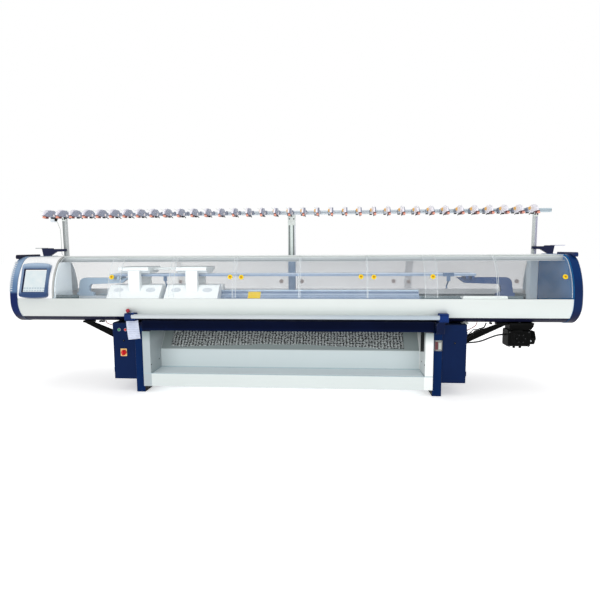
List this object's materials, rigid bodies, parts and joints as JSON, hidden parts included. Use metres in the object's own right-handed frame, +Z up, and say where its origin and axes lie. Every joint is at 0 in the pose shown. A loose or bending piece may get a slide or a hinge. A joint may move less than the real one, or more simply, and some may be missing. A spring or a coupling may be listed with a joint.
{
  "type": "flat knitting machine",
  "caption": "Extra-wide flat knitting machine: rounded hood with sliding clear doors over a V-bed with linked carriages, on two legs with cabinets, tray and yarn stand.",
  "frame": {"origin": "on the floor, under the middle of the machine's length and between its legs", "axes": "X along the machine to the operator's right, Y from the operator to the back, Z up"},
  "size_m": [5.73, 1.0089, 1.799],
  "materials": {
    "navy_paint": "semi-gloss navy paint",
    "deep_navy": "near-black navy paint",
    "white_paint": "gloss white paint",
    "cap_moulding": "navy end cap",
    "casting": "dark grey-green casting",
    "bed_steel": "ground needle bed",
    "carriage_paint": "pale blue-grey paint",
    "arm_paint": "steel-blue paint",
    "rail_steel": "steel",
    "clear_pane": "clear pane",
    "bezel_plastic": "slate navy plastic",
    "screen_glass": "touch screen",
    "roller_rubber": "rubber",
    "knit": "ribbed knit",
    "bar_white": "white bar",
    "green_plastic": "green",
    "red_plastic": "red",
    "post_alloy": "anodised alloy",
    "sensor_plastic": "light grey housings",
    "black_paint": "black",
    "belt_rubber": "belt",
    "pulley_alloy": "alloy",
    "card_paper": "card",
    "cable_black": "cable",
    "wire_orange": "thin wire",
    "pane_white": "light grey panels"
  },
  "bodies": {
    "machine": {"bar_brackets": "navy_paint", "bottom_pan": "deep_navy", "cabinets": "navy_paint", "carrier_rails": "rail_steel", "cross_beams": "navy_paint", "diagonal_struts": "black_paint", "drive_belt": "belt_rubber", "drive_motor": "black_paint", "end_columns": "pane_white", "fabric_tray": "white_paint", "front_cover": "white_paint", "front_needle_bed": "bed_steel", "hood_door_2": "clear_pane", "knitted_fabric": "knit", "left_end_cap": "cap_moulding", "left_leg": "navy_paint", "main_beam": "casting", "monitor_bezel": "bezel_plastic", "monitor_panel": "white_paint", "monitor_screen": "screen_glass", "motor_cable": "cable_black", "rail_arms": "arm_paint", "rear_cover": "white_paint", "rear_needle_bed": "bed_steel", "right_end_cap": "cap_moulding", "right_leg": "navy_paint", "side_tensioners": "black_paint", "signal_wires": "wire_orange", "stand_beam": "post_alloy", "stand_posts": "post_alloy", "stop_motions": "sensor_plastic", "top_rail": "white_paint"},
    "carriages": {"left_carriage": "carriage_paint", "right_carriage": "carriage_paint"},
    "hood_door_1": {"hood_door_1": "clear_pane"},
    "hood_door_3": {"hood_door_3": "clear_pane"},
    "hood_door_4": {"hood_door_4": "clear_pane"},
    "hood_door_5": {"hood_door_5": "clear_pane"},
    "hood_door_6": {"hood_door_6": "clear_pane"},
    "hood_door_7": {"hood_door_7": "clear_pane"},
    "hood_door_8": {"hood_door_8": "clear_pane"},
    "rear_door_1": {"rear_door_1": "clear_pane"},
    "rear_door_2": {"rear_door_2": "clear_pane"},
    "rear_door_3": {"rear_door_3": "clear_pane"},
    "rear_door_4": {"rear_door_4": "clear_pane"},
    "yarn_carrier_1": {"yarn_carrier_1": "arm_paint"},
    "yarn_carrier_2": {"yarn_carrier_2": "arm_paint"},
    "yarn_carrier_3": {"yarn_carrier_3": "arm_paint"},
    "drive_pulley": {"drive_pulley": "pulley_alloy"},
    "idler_pulley": {"idler_pulley": "pulley_alloy"},
    "take_down_roller": {"take_down_roller": "roller_rubber"},
    "counter_roller": {"counter_roller": "roller_rubber"},
    "operating_bar": {"operating_bar": "bar_white"},
    "left_cabinet_door": {"left_cabinet_door": "navy_paint", "instruction_card": "card_paper"},
    "right_cabinet_door": {"right_cabinet_door": "navy_paint"},
    "start_button": {"start_button": "green_plastic"},
    "stop_button": {"stop_button": "red_plastic"},
    "main_switch_knob": {"main_switch_knob": "red_plastic"},
    "emergency_stop": {"emergency_stop": "red_plastic"}
  },
  "joints": [
    {"name": "carriage_travel", "type": "slide", "parent": "machine", "child": "carriages", "axis": [1, 0, 0], "range_m": [-0.2, 2.5]},
    {"name": "hood_door_1_slide", "type": "slide", "parent": "machine", "child": "hood_door_1", "axis": [1, 0, 0], "range_m": [0, 0.45]},
    {"name": "hood_door_3_slide", "type": "slide", "parent": "machine", "child": "hood_door_3", "axis": [1, 0, 0], "range_m": [-0.45, 0]},
    {"name": "hood_door_4_slide", "type": "slide", "parent": "machine", "child": "hood_door_4", "axis": [1, 0, 0], "range_m": [0, 0.5]},
    {"name": "hood_door_5_slide", "type": "slide", "parent": "machine", "child": "hood_door_5", "axis": [1, 0, 0], "range_m": [-0.5, 0]},
    {"name": "hood_door_6_slide", "type": "slide", "parent": "machine", "child": "hood_door_6", "axis": [1, 0, 0], "range_m": [0, 0.42]},
    {"name": "hood_door_7_slide", "type": "slide", "parent": "machine", "child": "hood_door_7", "axis": [1, 0, 0], "range_m": [-0.42, 0]},
    {"name": "hood_door_8_slide", "type": "slide", "parent": "machine", "child": "hood_door_8", "axis": [1, 0, 0], "range_m": [-0.5, 0]},
    {"name": "rear_door_1_slide", "type": "slide", "parent": "machine", "child": "rear_door_1", "axis": [1, 0, 0], "range_m": [0, 1.05]},
    {"name": "rear_door_2_slide", "type": "slide", "parent": "machine", "child": "rear_door_2", "axis": [1, 0, 0], "range_m": [-1.05, 0]},
    {"name": "rear_door_3_slide", "type": "slide", "parent": "machine", "child": "rear_door_3", "axis": [1, 0, 0], "range_m": [0, 1.05]},
    {"name": "rear_door_4_slide", "type": "slide", "parent": "machine", "child": "rear_door_4", "axis": [1, 0, 0], "range_m": [-1.05, 0]},
    {"name": "yarn_carrier_1_slide", "type": "slide", "parent": "machine", "child": "yarn_carrier_1", "axis": [1, 0, 0], "range_m": [-3.22, 0.1]},
    {"name": "yarn_carrier_2_slide", "type": "slide", "parent": "machine", "child": "yarn_carrier_2", "axis": [1, 0, 0], "range_m": [-0.39, 2.9]},
    {"name": "yarn_carrier_3_slide", "type": "slide", "parent": "machine", "child": "yarn_carrier_3", "axis": [1, 0, 0], "range_m": [0, 3.25]},
    {"name": "drive_pulley_turn", "type": "hinge", "parent": "machine", "child": "drive_pulley", "pos_m": [2.178, -0.29, 0.707], "axis": [0, 0, 1], "continuous": true},
    {"name": "idler_pulley_turn", "type": "hinge", "parent": "machine", "child": "idler_pulley", "pos_m": [-2.178, -0.29, 0.707], "axis": [0, 0, 1], "continuous": true},
    {"name": "take_down_turn", "type": "hinge", "parent": "machine", "child": "take_down_roller", "pos_m": [0, -0.0299, 0.64], "axis": [1, 0, 0], "continuous": true},
    {"name": "counter_roller_turn", "type": "hinge", "parent": "machine", "child": "counter_roller", "pos_m": [0, 0.0299, 0.64], "axis": [1, 0, 0], "continuous": true},
    {"name": "operating_bar_turn", "type": "hinge", "parent": "machine", "child": "operating_bar", "pos_m": [0, -0.505, 0.75], "axis": [1, 0, 0], "range_deg": [-15, 15], "stiffness_Nm_per_rad": 6},
    {"name": "left_cabinet_hinge", "type": "hinge", "parent": "machine", "child": "left_cabinet_door", "pos_m": [-1.676, -0.394, 0.4], "axis": [0, 0, -1], "range_deg": [0, 110]},
    {"name": "right_cabinet_hinge", "type": "hinge", "parent": "machine", "child": "right_cabinet_door", "pos_m": [1.676, -0.394, 0.4], "axis": [0, 0, 1], "range_deg": [0, 110]},
    {"name": "start_button_press", "type": "slide", "parent": "left_cabinet_door", "child": "start_button", "axis": [0, 1, 0], "range_m": [0, 0.004], "stiffness_N_per_m": 400},
    {"name": "stop_button_press", "type": "slide", "parent": "left_cabinet_door", "child": "stop_button", "axis": [0, 1, 0], "range_m": [0, 0.004], "stiffness_N_per_m": 400},
    {"name": "main_switch_turn", "type": "hinge", "parent": "left_cabinet_door", "child": "main_switch_knob", "pos_m": [-1.566, -0.42, 0.387], "axis": [0, 1, 0], "range_deg": [0, 90]},
    {"name": "emergency_stop_press", "type": "slide", "parent": "machine", "child": "emergency_stop", "axis": [0, 1, 0], "range_m": [0, 0.005], "stiffness_N_per_m": 800}
  ],
  "couplings": [
    {"joint": "drive_pulley_turn", "follows": "carriage_travel", "rad_per_m": -21.5},
    {"joint": "idler_pulley_turn", "follows": "carriage_travel", "rad_per_m": -21.5},
    {"joint": "counter_roller_turn", "follows": "take_down_turn", "ratio": -1}
  ]
}
